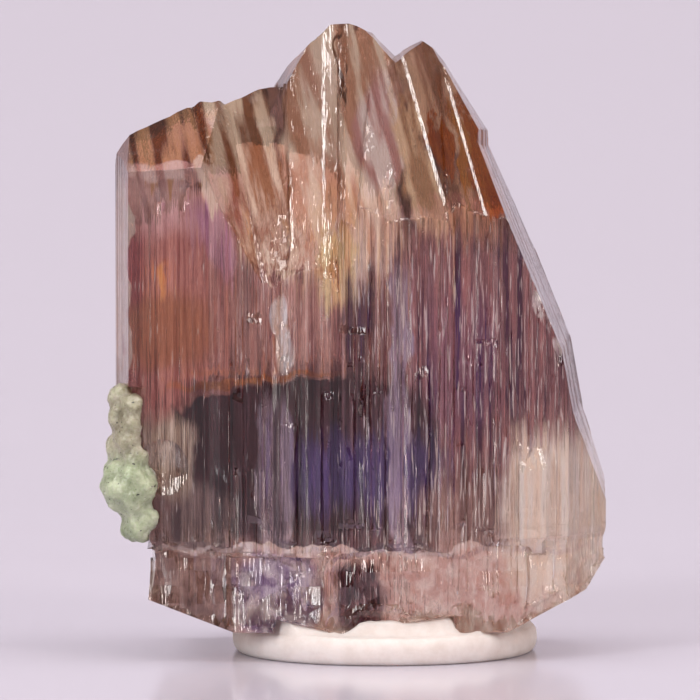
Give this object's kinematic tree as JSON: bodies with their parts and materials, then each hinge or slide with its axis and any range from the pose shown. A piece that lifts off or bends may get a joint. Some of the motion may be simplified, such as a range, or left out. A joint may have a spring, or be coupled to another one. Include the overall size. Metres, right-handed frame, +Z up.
{
  "type": "tanzanite crystal",
  "caption": "Display specimen: a flattened, striated tanzanite crystal with pointed end faces and a crust of pale green prehnite beads, standing on a round putty disc.",
  "frame": {"origin": "centre of the putty disc's flat underside", "axes": "+Z up along the length of the crystal; the broad front face that the picture shows faces -Y; +X to the right seen from the front"},
  "size_m": [0.0222, 0.0133, 0.0279],
  "materials": {
    "tanzanite": "natural striated crystal faces with a glassy lustre",
    "prehnite": "natural rounded beads with a waxy, finely sugary surface",
    "putty": "hand-pressed matt putty"
  },
  "bodies": {
    "root": {"tanzanite_crystal": "tanzanite", "prehnite_cluster": "prehnite", "putty_disc": "putty"}
  },
  "joints": []
}
